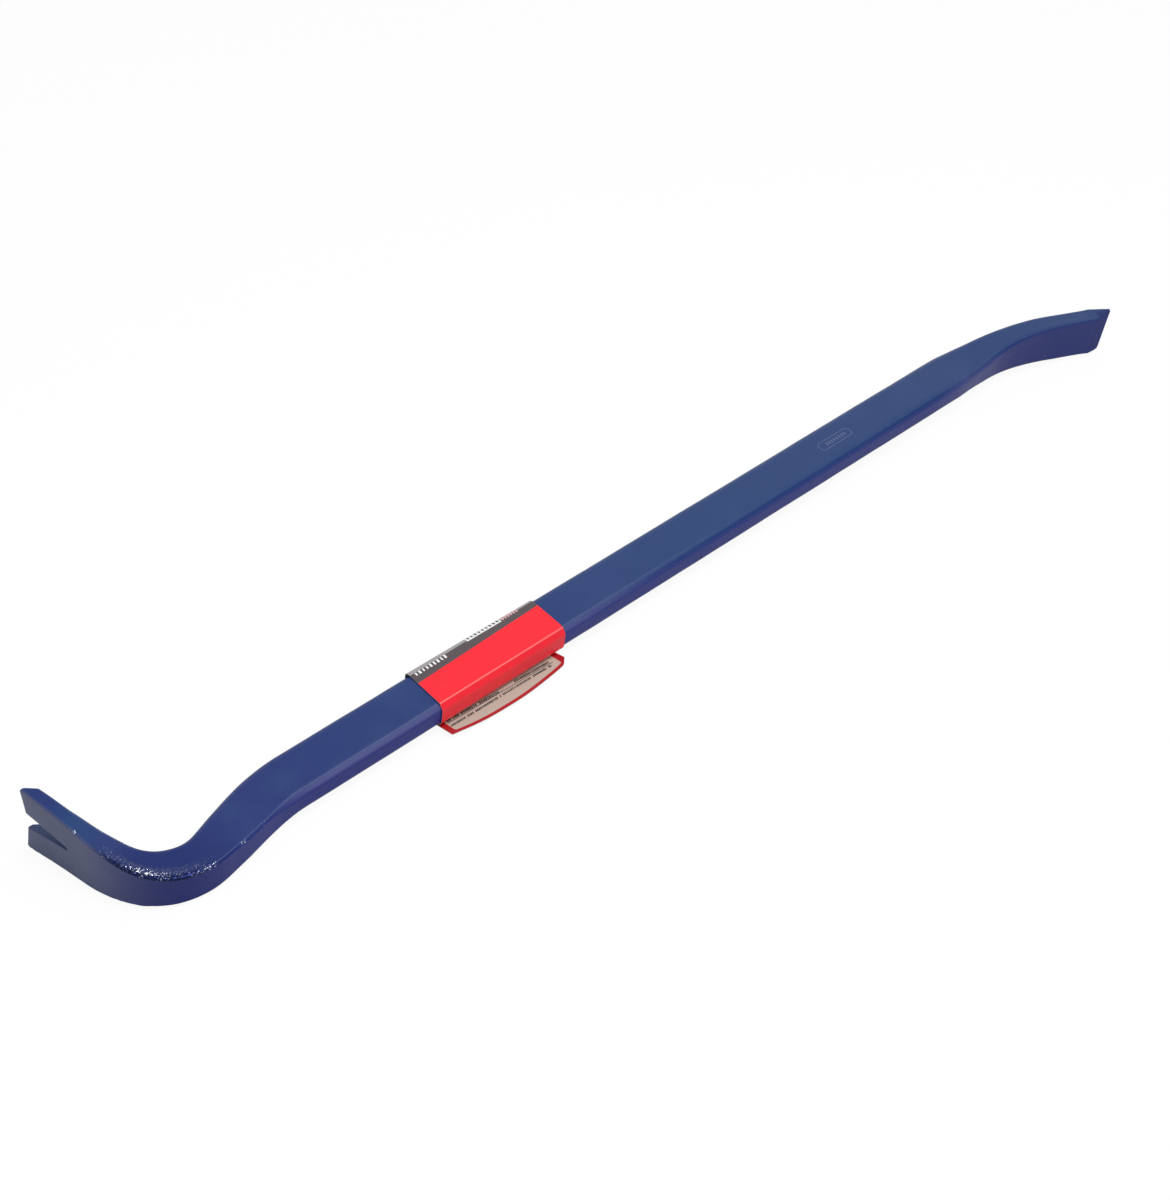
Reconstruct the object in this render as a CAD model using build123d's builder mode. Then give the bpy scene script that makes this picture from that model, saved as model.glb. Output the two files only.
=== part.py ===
"""Gooseneck pry bar: a forged bar with a slotted claw and a chisel end, in a loose printed card sleeve."""
from build123d import *
import os

os.makedirs("parts", exist_ok=True)

# ---- Forged bar: straight shank -------------------------------------------------------------------
shank_length = 543.5        # straight run between the claw's bend and the chisel's bend
shank_depth = 30.0          # across the shank, in the plane of the bends (Y)
shank_width = 17.0          # across the shank, square to the plane of the bends (Z)
shank_corner = 4.8          # rolled corner of the bar stock

# ---- Forged bar: gooseneck and claw ---------------------------------------------------------------
neck_radius = 134.5         # the shank first dips away from the claw's side
neck_angle = 16.0
dip_length = 26.0
heel_radius = 34.5          # then turns through the heel, which is the fulcrum
heel_angle = 81.0
sweep_radius = 106.0        # and flattens out into the blade
sweep_angle = 12.0
blade_length = 40.5
tip_thickness = 6.4         # of the claw at its end, before its edge is ground
tip_width = 49.5
tip_corner = 2.5            # rounding of the two outer corners of the prongs
claw_bevel_length = 6.5     # ground on the inner face only
claw_edge = 1.0             # land that the bevel leaves at the edge

# evenly spaced from the shank to the tip: thickness, width, rolled corner
claw_stations = [
    (shank_depth, shank_width, shank_corner),
    (29.6, 17.0, 4.8),
    (28.7, 17.1, 4.7),
    (27.5, 17.5, 4.6),
    (26.0, 18.5, 4.3),
    (23.7, 20.0, 4.0),
    (21.8, 21.2, 3.8),
    (20.4, 22.6, 3.5),
    (17.5, 25.8, 3.1),
    (14.4, 31.0, 2.8),
    (12.0, 36.4, 2.4),
    (9.8, 40.8, 2.1),
    (8.2, 44.0, 1.8),
    (7.4, 46.6, 1.5),
    (tip_thickness, tip_width, 1.3),
]

# ---- Forged bar: nail slot ------------------------------------------------------------------------
slot_depth = 30.5           # from the tip to the slot's root
slot_mouth = 11.4           # width at the prongs' ends, on the outer face
slot_root = 1.6             # width at the root, on the outer face
slot_flare = 10.0           # lean of the slot's flanks, so that it widens to the inner face
prong_recess = 2.6          # the prongs' ends fall back by this much towards the slot

# ---- Forged bar: chisel end -----------------------------------------------------------------------
throat_radius = 320.0       # a slight first bend away from the claw's side
throat_angle = 4.0
throat_length = 13.0
chisel_radius = 180.0       # then the chisel's own bend
chisel_angle = 19.0
chisel_length = 44.5        # straight run to the cutting edge
chisel_thickness = 11.4     # at the end, before its edge is ground
chisel_width = 35.0
chisel_corner = 3.0         # rounding of the cutting edge's two corners
near_bevel_length = 11.0    # on the outer side of the bend
far_bevel_length = 14.0
chisel_edge = 2.0           # thickness left at the cutting edge

chisel_stations = [
    (shank_depth, shank_width, shank_corner),
    (27.8, 17.3, 4.6),
    (24.7, 19.6, 4.3),
    (21.2, 23.0, 4.0),
    (18.3, 25.8, 3.6),
    (16.4, 27.8, 3.2),
    (14.9, 29.4, 2.8),
    (13.5, 30.4, 2.4),
    (12.6, 30.6, 2.0),
    (11.9, 31.4, 1.7),
    (chisel_thickness, chisel_width, 1.4),
]

# ---- Card sleeve ----------------------------------------------------------------------------------
card = 0.4                  # thickness of the card
sleeve_gap = 0.4            # clearance between the card and the bar
sleeve_slack = 0.4          # further slack on the claw's side, where the card is only folded
sleeve_fold = 3.0           # radius of those folds
sleeve_length = 92.0
sleeve_from_neck = 89.0     # from the start of the neck's bend to the sleeve
leaf_lap = 23.0             # how far the inner leaf reaches under the bar
flap_reach = 11.0           # the flap's free edge beyond the near side of the shank, at its middle
flap_bulge = 4.0            # how far that edge bows out between its ends
flap_lean = 2.9             # the flap's ends lean this far along the bar
flap_inset = 1.2            # of its end at the chisel's side from the end of the sleeve
flap_neck = 4.0             # the ends lean from here on, inside the near side of the shank
flap_corner = 3.6           # cut off the flap's corner at the chisel's side
flap_droop = 1.6            # how far the free edge hangs below the leaf
flap_root = 11.0            # from the near side of the shank to where the leaf starts to hang
flap_bend = 30.0            # radius of that bend

# ---- Adhesive between the leaves ------------------------------------------------------------------
glue = 0.2
glue_width = 10.0
glue_margin = 6.0           # bare card at each end of the strip


def loft_stations(path, stations, run=4):
    """Loft rounded rectangles, evenly spaced along a path and square to it, in short runs that meet."""
    sections = []
    for index, (thickness, width, corner) in enumerate(stations):
        share = index / (len(stations) - 1)
        with BuildSketch(Plane(origin=path @ share, x_dir=(0, 0, 1), z_dir=path % share)) as section:
            RectangleRounded(width, thickness, corner)
        sections.append(section.sketch)
    for start in range(0, len(sections) - 1, run):
        loft(sections[start : start + run + 1])


def nip_corners(plane, width, radius, depth):
    """Round the two outer corners of a blade's end; the plane lies in the blade, +X towards its tip."""
    with BuildSketch(plane) as nips:
        for side in (-1, 1):
            with Locations((-radius / 2, side * (width / 2 - radius / 2))):
                Rectangle(2 * radius, 2 * radius)
            with Locations((-radius, side * (width / 2 - radius))):
                Circle(radius, mode=Mode.SUBTRACT)
                Rectangle(2 * radius, 2 * radius, align=(Align.MAX, Align.CENTER), mode=Mode.SUBTRACT)
    extrude(nips.sketch, amount=depth, both=True, mode=Mode.SUBTRACT)


# The plane of the bends is XY, the shank's axis is X, and the claw points to +Y.
neck_x = -shank_length / 2
throat_x = shank_length / 2

with BuildLine() as claw_line:
    neck_bend = JernArc(start=(neck_x, 0), tangent=(-1, 0), radius=neck_radius, arc_size=neck_angle)
    dip = Line(neck_bend @ 1, neck_bend @ 1 + dip_length * (neck_bend % 1))
    heel = JernArc(start=dip @ 1, tangent=dip % 1, radius=heel_radius, arc_size=-heel_angle)
    sweep_bend = JernArc(start=heel @ 1, tangent=heel % 1, radius=sweep_radius, arc_size=-sweep_angle)
    blade = Line(sweep_bend @ 1, sweep_bend @ 1 + blade_length * (sweep_bend % 1))
claw_path = claw_line.wire()

with BuildLine() as chisel_line:
    throat_bend = JernArc(start=(throat_x, 0), tangent=(1, 0), radius=throat_radius, arc_size=-throat_angle)
    throat = Line(throat_bend @ 1, throat_bend @ 1 + throat_length * (throat_bend % 1))
    chisel_bend = JernArc(start=throat @ 1, tangent=throat % 1, radius=chisel_radius, arc_size=-chisel_angle)
    chisel = Line(chisel_bend @ 1, chisel_bend @ 1 + chisel_length * (chisel_bend % 1))
chisel_path = chisel_line.wire()

# Planes in each blade: +X runs to its tip, +Z to its far face (the claw's inner face).
claw_tip = claw_path @ 1
claw_way = claw_path % 1
claw_plane = Plane(origin=claw_tip, x_dir=claw_way, z_dir=claw_way.cross(Vector(0, 0, 1)))
chisel_tip = chisel_path @ 1
chisel_way = chisel_path % 1
chisel_plane = Plane(origin=chisel_tip, x_dir=chisel_way, z_dir=Vector(0, 0, 1).cross(chisel_way))
# The same two blades seen square to the plane of the bends: +Y runs to the far face.
claw_profile = Plane(origin=claw_tip, x_dir=claw_way, z_dir=(0, 0, -1))
chisel_profile = Plane(origin=chisel_tip, x_dir=chisel_way, z_dir=(0, 0, 1))

with BuildPart() as forged_bar:
    with BuildSketch(Plane.YZ.offset(neck_x)):
        RectangleRounded(shank_depth, shank_width, shank_corner)
    extrude(amount=shank_length)
    loft_stations(claw_path, claw_stations)
    loft_stations(chisel_path, chisel_stations)

    # Nail slot: a V from the tip, with the prongs' ends falling back towards it.
    with BuildSketch(claw_plane.offset(-tip_thickness / 2)) as slot:
        with BuildLine():
            Polyline(
                (tip_thickness, -tip_width / 2 + tip_corner),
                (0, -tip_width / 2 + tip_corner),
                (-prong_recess, -slot_mouth / 2),
                (-slot_depth, -slot_root / 2),
                (-slot_depth, slot_root / 2),
                (-prong_recess, slot_mouth / 2),
                (0, tip_width / 2 - tip_corner),
                (tip_thickness, tip_width / 2 - tip_corner),
                close=True,
            )
        make_face()
    extrude(amount=3 * tip_thickness, taper=-slot_flare, mode=Mode.SUBTRACT)
    extrude(slot.sketch, amount=-tip_thickness, mode=Mode.SUBTRACT)

    # Rounded outer corners of both blades.
    nip_corners(claw_plane, tip_width, tip_corner, 2 * tip_thickness)
    nip_corners(chisel_plane, chisel_width, chisel_corner, chisel_thickness)

    # Ground edges: one bevel on the claw's inner face, one on each face of the chisel.
    with BuildSketch(claw_profile):
        with BuildLine():
            Polyline(
                (-claw_bevel_length, tip_thickness / 2 + 1),
                (-claw_bevel_length, tip_thickness / 2),
                (0, claw_edge - tip_thickness / 2),
                (1, claw_edge - tip_thickness / 2),
                (1, tip_thickness / 2 + 1),
                close=True,
            )
        make_face()
    extrude(amount=tip_width, both=True, mode=Mode.SUBTRACT)
    with BuildSketch(chisel_profile):
        for side, length in ((1, far_bevel_length), (-1, near_bevel_length)):
            with BuildLine():
                Polyline(
                    (-length, side * (chisel_thickness / 2 + 2)),
                    (-length, side * (chisel_thickness / 2 + 0.4)),
                    (0, side * chisel_edge / 2),
                    (1, side * chisel_edge / 2),
                    (1, side * (chisel_thickness / 2 + 2)),
                    close=True,
                )
            make_face()
    extrude(amount=chisel_width, both=True, mode=Mode.SUBTRACT)
forged_bar.part.label = "forged_bar"

# The card is a band wound round the shank: an inner leaf lies under the bar, the band goes round
# it, and the outer leaf passes under the inner one and on past the near side as a flap.
card_off = sleeve_gap + card / 2
near_y = -shank_depth / 2 - card_off
far_y = shank_depth / 2 + card_off + sleeve_slack
top_z = shank_width / 2 + card_off
inner_leaf_z = -top_z
outer_leaf_z = inner_leaf_z - card - glue
lap_end_y = near_y + leaf_lap
flap_root_y = -shank_depth / 2 + flap_root
flap_edge_y = -shank_depth / 2 - flap_reach
sleeve_x = neck_x + sleeve_from_neck
near_fold = shank_corner + card_off

with BuildPart() as label_sleeve:
    with BuildSketch(Plane.YZ.offset(sleeve_x)):
        with BuildLine():
            FilletPolyline(
                (lap_end_y, inner_leaf_z),
                (near_y, inner_leaf_z),
                (near_y, top_z),
                (far_y, top_z),
                (far_y, outer_leaf_z),
                (flap_root_y, outer_leaf_z),
                (flap_edge_y, outer_leaf_z - flap_droop),
                radius=[near_fold, near_fold, sleeve_fold, sleeve_fold, flap_bend],
            )
        trace(line_width=card)
    extrude(amount=sleeve_length)
    # The flap's free edge bows out in the middle, and its ends lean the same way.
    left_x = sleeve_x
    right_x = sleeve_x + sleeve_length
    end_x = right_x - flap_inset
    corner_y = flap_edge_y + flap_bulge
    neck_y = -shank_depth / 2 + flap_neck
    with BuildSketch(Plane.XY.offset(outer_leaf_z + card / 2)):
        with Locations(((left_x + right_x) / 2, flap_edge_y)):
            Rectangle(2 * sleeve_length, -2 * flap_edge_y)
        with BuildLine():
            free_edge = ThreePointArc(
                (left_x + flap_lean, corner_y),
                ((left_x + right_x) / 2, flap_edge_y),
                (end_x - flap_corner, corner_y),
            )
            Polyline(
                free_edge @ 1,
                (end_x, corner_y + flap_corner),
                (end_x - flap_lean, neck_y),
                (right_x, neck_y + flap_lean),
                (right_x, 0),
                (left_x, 0),
                (left_x, neck_y),
                free_edge @ 0,
            )
        make_face(mode=Mode.SUBTRACT)
    extrude(amount=-card - 2 * flap_droop, mode=Mode.SUBTRACT)
label_sleeve.part.label = "label_sleeve"

with BuildPart() as adhesive_strip:
    with BuildSketch(Plane.XY.offset(inner_leaf_z - card / 2)):
        with Locations((sleeve_x + sleeve_length / 2, lap_end_y - glue_width / 2 - 1)):
            Rectangle(sleeve_length - 2 * glue_margin, glue_width)
    extrude(amount=-glue)
adhesive_strip.part.label = "adhesive_strip"

# The origin is the middle of the bar's own footprint, at its lowest point.
box = forged_bar.part.bounding_box()
to_origin = Location((-box.center().X, -box.center().Y, -box.min.Z))
for piece in (forged_bar, label_sleeve, adhesive_strip):
    name = piece.part.label
    placed = piece.part.moved(to_origin)
    placed.label = name
    export_step(placed, f"parts/{name}.step")

size = box.size
print(f"overall {size.X:.1f} x {size.Y:.1f} x {size.Z:.1f} mm")
print(f"shank axis at y {-box.center().Y:.2f}, z {-box.min.Z:.2f}; middle of the shank at x {-box.center().X:.2f}")
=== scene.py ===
import bpy
import bmesh
import math
from mathutils import Matrix, Vector, noise


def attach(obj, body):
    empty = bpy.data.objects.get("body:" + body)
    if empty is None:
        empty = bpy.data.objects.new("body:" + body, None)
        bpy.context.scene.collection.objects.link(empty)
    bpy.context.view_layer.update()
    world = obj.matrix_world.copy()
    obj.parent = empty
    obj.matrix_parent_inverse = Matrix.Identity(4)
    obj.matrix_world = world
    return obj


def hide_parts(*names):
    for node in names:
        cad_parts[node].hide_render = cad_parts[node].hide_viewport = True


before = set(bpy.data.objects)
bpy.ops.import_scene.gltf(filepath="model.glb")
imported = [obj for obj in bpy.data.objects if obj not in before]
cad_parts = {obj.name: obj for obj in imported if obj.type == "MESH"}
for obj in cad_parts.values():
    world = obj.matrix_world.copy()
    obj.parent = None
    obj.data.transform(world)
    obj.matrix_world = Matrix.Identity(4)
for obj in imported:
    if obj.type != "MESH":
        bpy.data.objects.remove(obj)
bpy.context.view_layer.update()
mm = 0.001

bar = {
    "shankMiddle": (-6.07, -15.94, 24.56),
    "shankLength": 543.5,
    "neck": (134.5, 16.0),  # radius and angle of each bend
    "dip": 26.0,  # the straight between the neck and the heel
    "heel": (34.5, 81.0),
    "sweep": (106.0, 12.0),
    "blade": 40.5,
    "throat": (320.0, 4.0),
    "throatRun": 13.0,
    "chiselBend": (180.0, 19.0),
    "chiselRun": 44.5,
    "flatSegments": 26,
    "sideSegments": 16,
    "cornerSegments": 6,
    "shankSpacing": 2.4,  # between rings
    "clawSpacing": (0.3, 0.7, 1.0, 1.4, 2.0),
    "clawFineRings": 70.0,  # how far back from the claw's tip the rings stay close
    "chiselSpacing": (0.35, 0.8, 0.75, 1.9),
    "chiselFineRings": 3.0,
    "slotDepth": 30.5,
    "slotMouth": 11.4,
    "slotRoot": 1.6,
    "slotFlare": 10.0,
    "slotFade": 26.0,  # behind the slot, where the rings come upright again
    "slotRound": 0.4,  # the enamel rounds the slot's edges
    "prongRecess": 2.6,
    "clawBevel": 6.5,
    "clawEdge": 1.0,
    "clawNip": 2.5,
    "nearBevel": 11.0,
    "farBevel": 14.0,
    "bevelLead": 0.4,
    "chiselThickness": 11.4,
    "chiselEdge": 2.0,
    "chiselNip": (0.9, 2.2),  # on the two sides
    "unevenness": 0.13,  # of the forged surface
    "clawUnevenness": 0.27,
    "chiselUnevenness": 0.189,
    "broadWaves": 31.0,
    "fineWaves": 9.0,
    "outerCorner": 0.5,  # how much tighter the corners are round the outside of the gooseneck
    "nickDepth": 0.9,
    "nickLength": 3.0,
    "nickPatch": 17.0,
    "nickRise": 0.9,  # how far a nick reaches up the side
    "nickStart": -150.0,
}

# where each mark begins, is full, starts to fade and ends, from the claw's tip or up the side
wear = {
    "tighter": (-168, -140, -60, -30),  # the outer corners
    "hammered": (-114, -86, -64, -46),
    "hammeredTop": (3.5, 8.5),
    "glints": (-93, -80, -74, -63),
    "glintsUp": (0.3, 1.0, 2.6, 5.4),
    # how far up the side the painted shade under the hammered band reaches
    "grooveShadeTop": (0.2, 2.0),
    # painted shade over the heel
    "heelShade": (-132, -92, -74, -40),
    # a painted sheen on the claw's outer face, weaker on its inner face
    "rubAndSheen": (-92, -22),
    "sheenInside": 0.35,
    # a pale lilac painted highlight along the shank's long corner
    "paleLilac": (-470, -330, -190, -130),
    "cornerHighlightAngle": (50, 17),  # middle and spread, round the corner
    # how deep a nick must be to carry painted glints of bare steel
    "nickGlintDent": (0.07, 0.2),
    "rim": 0.55,
    "rimWidth": 1.1,
    "slotRimWidth": 0.9,
}

# evenly spaced from the shank to each tip: thickness, width, rolled corner
clawSections = [
    (30, 17, 4.8), (29.6, 17, 4.8), (28.7, 17.1, 4.7), (27.5, 17.5, 4.6), (26, 18.5, 4.3),
    (23.7, 20, 4), (21.8, 21.2, 3.8), (20.4, 22.6, 3.5), (17.5, 25.8, 3.1), (14.4, 31, 2.8),
    (12, 36.4, 2.4), (9.8, 40.8, 2.1), (8.2, 44, 1.8), (7.4, 46.6, 1.5), (6.4, 49.5, 1.3),
]
chiselSections = [
    (30, 17, 4.8), (27.8, 17.3, 4.6), (24.7, 19.6, 4.3), (21.2, 23, 4), (18.3, 25.8, 3.6),
    (16.4, 27.8, 3.2), (14.9, 29.4, 2.8), (13.5, 30.4, 2.4), (12.6, 30.6, 2), (11.9, 31.4, 1.7),
    (11.4, 35, 1.4),
]


def smoothStep(low, high, value):
    share = min(1.0, max(0.0, (value - low) / (high - low)))
    return share * share * (3 - 2 * share)


def band(stops, value):
    # rises between the first two stops and falls between the last two
    return smoothStep(stops[0], stops[1], value) * (1 - smoothStep(stops[2], stops[3], value))


def mix(a, b, share):
    return a + (b - a) * share


def bendLength(bend):
    return bend[0] * math.radians(bend[1])


def pathAt(start, heading, runs, distance):
    # runs are (length, turn in degrees); gives the point and the heading there
    x, y = start
    for length, turn in runs:
        step = max(0.0, min(length, distance))
        if turn == 0:
            x += math.cos(heading) * step
            y += math.sin(heading) * step
        else:
            curve = math.radians(turn) / length
            after = heading + curve * step
            x += (math.sin(after) - math.sin(heading)) / curve
            y -= (math.cos(after) - math.cos(heading)) / curve
            heading = after
        distance -= length
    if distance > 0:
        x += math.cos(heading) * distance
        y += math.sin(heading) * distance
    return x, y, heading


def sectionAt(sections, share):
    # a smooth curve through the evenly spaced sections
    place = min(max(share, 0.0), 1.0) * (len(sections) - 1)
    index = min(int(place), len(sections) - 2)
    t = place - index
    before = sections[max(index - 1, 0)]
    here, there = sections[index], sections[index + 1]
    after = sections[min(index + 2, len(sections) - 1)]
    return [
        0.5 * (2 * b + (c - a) * t + (2 * a - 5 * b + 4 * c - d) * t * t + (3 * b - a - 3 * c + d) * t ** 3)
        for a, b, c, d in zip(before, here, there, after)
    ]


halfShank = bar["shankLength"] / 2
clawRuns = [
    (bendLength(bar["neck"]), bar["neck"][1]), (bar["dip"], 0), (bendLength(bar["heel"]), -bar["heel"][1]),
    (bendLength(bar["sweep"]), -bar["sweep"][1]), (bar["blade"], 0),
]
chiselRuns = [
    (bendLength(bar["throat"]), -bar["throat"][1]), (bar["throatRun"], 0),
    (bendLength(bar["chiselBend"]), -bar["chiselBend"][1]), (bar["chiselRun"], 0),
]
clawLength = sum(run[0] for run in clawRuns)
chiselLength = sum(run[0] for run in chiselRuns)


def barPoint(end, toTip, across, lift):
    # toTip counts back from that end's tip, and lift is towards the claw's side
    if end == "chisel":
        x, y, heading = pathAt((halfShank, 0), 0.0, chiselRuns, chiselLength + toTip)
        outX, outY = -math.sin(heading), math.cos(heading)
    elif toTip < -clawLength:  # on the shank
        x, y, outX, outY = -halfShank + (-clawLength - toTip), 0, 0, 1
    else:
        x, y, heading = pathAt((-halfShank, 0), math.pi, clawRuns, clawLength + toTip)
        outX, outY = math.sin(heading), -math.cos(heading)
    middleX, middleY, middleZ = bar["shankMiddle"]
    return Vector((x + outX * lift + middleX, y + outY * lift + middleY, across + middleZ))


def nipped(width, radius, toTip):
    # the width where the tip's corners are rounded off
    if toTip <= -radius:
        return width
    reach = min(radius, toTip + radius)
    return width - 2 * (radius - math.sqrt(max(0.0, radius * radius - reach * reach)))


def bevelled(bevel, toTip):
    # half the chisel's thickness on a bevel that starts just proud of the blade
    lead = bar["chiselThickness"] / 2 + bar["bevelLead"]
    return mix(lead, bar["chiselEdge"] / 2, (toTip + bevel) / bevel)


def sectionSizes(end, toTip, side=1):
    # width, corner, height of the inner face and of the outer face
    if end == "claw":
        thick, width, corner = sectionAt(clawSections, (clawLength + toTip) / clawLength)
        top, bottom = thick / 2, -thick / 2
        bevel, halfTip = bar["clawBevel"], clawSections[-1][0] / 2
        if toTip > -bevel:
            top = min(top, mix(halfTip, bar["clawEdge"] - halfTip, (toTip + bevel) / bevel))
        width = nipped(width, bar["clawNip"], toTip)
    else:
        thick, width, corner = sectionAt(chiselSections, (chiselLength + toTip) / chiselLength)
        top = min(thick / 2, bevelled(bar["farBevel"], toTip))
        bottom = -min(thick / 2, bevelled(bar["nearBevel"], toTip))
        width = nipped(width, bar["chiselNip"][0 if side > 0 else 1], toTip)
    return width, min(corner, 0.46 * (top - bottom)), top, bottom


def outerCorner(end, toTip):
    # the gooseneck's outer corners are tighter than its inner ones
    if end == "chisel":
        return 1.0
    start, full, less, least = wear["tighter"]
    tighter = smoothStep(start, full, toTip) * (1 - 0.5 * smoothStep(less, least, toTip))
    return mix(1.0, bar["outerCorner"], tighter)


def nick(end, toTip, side):
    # small dents along the claw's outer corners, in patches
    start = bar["nickStart"]
    if end == "chisel" or toTip < start:
        return 0.0
    worn = noise.noise(Vector((toTip / bar["nickLength"], side * 0.4, 3.7)))
    patchy = noise.noise(Vector((toTip / bar["nickPatch"], side * 0.4, 9.1)))
    depth = bar["nickDepth"] * max(0.0, worn - 0.12)
    return depth * smoothStep(-0.25, 0.35, patchy) * smoothStep(start, start + 20, toTip)


def spans(stops, steps):
    # distances back from a tip, with a ring at each stop
    rings = [0.0]
    for low, high, step in zip(stops, stops[1:], steps):
        count = max(1, round((high - low) / step))
        for index in range(1, count + 1):
            share = index / count
            if low == 0.0:
                share = share ** 1.6  # closer rings round the nipped corner
            rings.append(low + (high - low) * share)
    return [-ring for ring in rings]


flare = math.tan(math.radians(bar["slotFlare"]))
slotLean = (bar["slotMouth"] - bar["slotRoot"]) / 2 / (bar["slotDepth"] - bar["prongRecess"])
slotStart = -bar["slotDepth"] - bar["slotRound"]


def slotHalf(toTip, height):
    # half the slot's width at a height above the blade's outer face
    away = height * flare
    return bar["slotRoot"] / 2 + (toTip + bar["slotDepth"]) * slotLean + away * math.sqrt(1 + slotLean ** 2)


def waves(point):
    # noise_vector differs from run to run, so each direction gets a plain noise of its own
    shifts = ((0, 0, 0), (31.4, 5.8, 12.7), (9.6, 47.3, 23.1))
    return Vector([noise.noise(point + Vector(shift)) for shift in shifts])


def forged(point, end, toTip):
    # low, smooth unevenness that moves every part of the surface together, and less at the very tips
    length = clawLength if end == "claw" else chiselLength
    amount = mix(bar["unevenness"], bar[end + "Unevenness"], smoothStep(-length, -60, toTip))
    amount *= mix(1.0, 0.45, smoothStep(-6, 0, toTip))
    broad = waves(point / bar["broadWaves"])
    fine = waves(point / bar["fineWaves"] + Vector((7.3, 1.9, 4.1)))
    return point + broad * amount + fine * amount * 0.4


# masks for the enamel: the first six come with a point, and the last two from where it lies
# several masks carry painted light: shade along the corner under the hammered band and over the heel, a sheen
# on the claw's outer face, a highlight along the shank's long corner, and glints in the hammered band and at
# the nicks
maskNames = ("rim", "hammer", "broadFace", "glint", "grooveShade", "cornerHighlight", "deep", "claw")


def addPoint(mesh, end, toTip, across, lift, *given):
    vert = mesh.verts.new(forged(barPoint(end, toTip, across, lift), end, toTip) * mm)
    values = [*given, *[0.0] * (6 - len(given))]
    if end == "claw":
        # the claw's points carry a painted sheen, weaker on the inner face
        isInner = lift > 0 and values[2] < 0.5
        rubAndSheen = smoothStep(*wear["rubAndSheen"], toTip) * (wear["sheenInside"] if isInner else 1.0)
        # the heel's painted shade, and the claw's painted sheen
        values += [band(wear["heelShade"], toTip), rubAndSheen]
    elif lift < 0:
        values += [smoothStep(-bar["nearBevel"] - 0.6, -bar["nearBevel"] + 0.6, toTip)]
    for name, value in zip(maskNames, values):
        vert[mesh.verts.layers.float[name]] = value
    return vert


# flat segments on each side of the slot
keep = (bar["flatSegments"] - 2) // 2


def newRing(end, at):
    # one cross-section of the bar, at a distance back from the tip of its end
    isClaw = end == "claw"
    return {
        "end": end,
        "at": at,
        "onShank": isClaw and at < -clawLength,
        "slotted": isClaw and at >= slotStart - 1e-6,
        "fade": smoothStep(slotStart - bar["slotFade"], slotStart, at) if isClaw else 0.0,
        "hammered": band(wear["hammered"], at) if isClaw else 0.0,
        "glints": band(wear["glints"], at) if isClaw else 0.0,
        # the painted highlight along the long corner
        "paleLilac": band(wear["paleLilac"], at) if isClaw else 0.0,
        "sizes": sectionSizes(end, max(at, -clawLength) if isClaw else at),
    }


def leaned(ring, rise, share=1.0, side=1):
    # the slot's flare leans the blade's rings back towards its inner face, and the prongs' ends are recessed
    toTip, bevel = ring["at"], bar["clawBevel"]
    if ring["onShank"]:
        return toTip, *ring["sizes"]
    if ring["slotted"] and toTip > -bevel:
        toTip = mix(-bevel, -bar["prongRecess"] * (1 - share), (toTip + bevel) / bevel)
    toTip -= flare * rise * (ring["sizes"][2] - ring["sizes"][3]) * ring["fade"]
    return toTip, *sectionSizes(ring["end"], toTip, side)


# each point is how far to the tip, across and up it lies, and then its masks


def flatPoint(ring, isUpper, column):
    flats = bar["flatSegments"]
    toTip, width, corner, top, bottom = leaned(ring, float(isUpper), abs(2 * column / flats - 1))
    if not isUpper:
        corner *= outerCorner(ring["end"], toTip)
    level = top if isUpper else bottom
    flat = width / 2 - corner
    otherWidth = width if ring["onShank"] else sectionSizes(ring["end"], toTip, -1)[0]
    across = mix(corner - otherWidth / 2, flat, column / flats)
    opening = slotHalf(max(toTip, slotStart), level - bottom) + bar["slotRound"]
    if ring["fade"] > 0:
        cut = 0.0
        if column <= keep:
            cut = mix(-flat, -opening, column / keep)
        elif column >= flats - keep:
            cut = mix(opening, flat, (column - flats + keep) / keep)
        across = mix(across, cut, ring["fade"])
    edge = math.exp(-(flat - abs(across)) / wear["rimWidth"])
    if ring["slotted"]:
        edge = max(edge, math.exp(-abs(abs(across) - opening) / wear["slotRimWidth"]))
    return toTip, across, level, min(1.0, wear["rim"] * edge), 0.0, 0.0


def cornerPoint(ring, isUpper, angle, side=1):
    toTip, width, corner, top, bottom = leaned(ring, float(isUpper), side=side)
    rim, broadFace = mix(wear["rim"], 1, math.sin(2 * angle)), 1 - 2 * angle / math.pi
    if isUpper:
        across = width / 2 - corner + corner * math.cos(angle)
        return toTip, across, top - corner + corner * math.sin(angle), rim, 0.0, broadFace
    corner *= outerCorner(ring["end"], toTip)
    dent = nick(ring["end"], toTip, side)
    across = width / 2 - corner + (corner - dent) * math.cos(angle)
    level = bottom + corner - (corner - dent) * math.sin(angle)
    # a painted highlight along the long corner, round its middle
    middle, spread = wear["cornerHighlightAngle"]
    cornerHighlight = math.exp(-(((math.degrees(angle) - middle) / spread) ** 2)) * ring["paleLilac"]
    # the deeper nicks carry painted glints of bare steel
    nickGlint = smoothStep(*wear["nickGlintDent"], dent)
    # the corner under the hammered band carries painted shade
    return toTip, across, level, rim, ring["hammered"] * 0.3, broadFace, nickGlint, ring["hammered"], cornerHighlight


def sidePoint(ring, rise, side=1):
    toTip, width, corner, top, bottom = leaned(ring, rise, side=side)
    level = mix(bottom + corner * outerCorner(ring["end"], toTip), top - corner, rise)
    up, down = rise * (top - bottom), (1 - rise) * (top - bottom)
    across = width / 2 - nick(ring["end"], toTip, side) * math.exp(-up / bar["nickRise"])
    rim = wear["rim"] * math.exp(-min(up, down) / wear["rimWidth"])
    hammer = ring["hammered"] * (1 - smoothStep(*wear["hammeredTop"], up))
    # painted shade along the corner under the hammered band, and painted glints low in the band
    grooveShade = ring["hammered"] * (1 - smoothStep(*wear["grooveShadeTop"], up))
    return toTip, across, level, rim, hammer, 1.0, ring["glints"] * band(wear["glintsUp"], up), grooveShade


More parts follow.
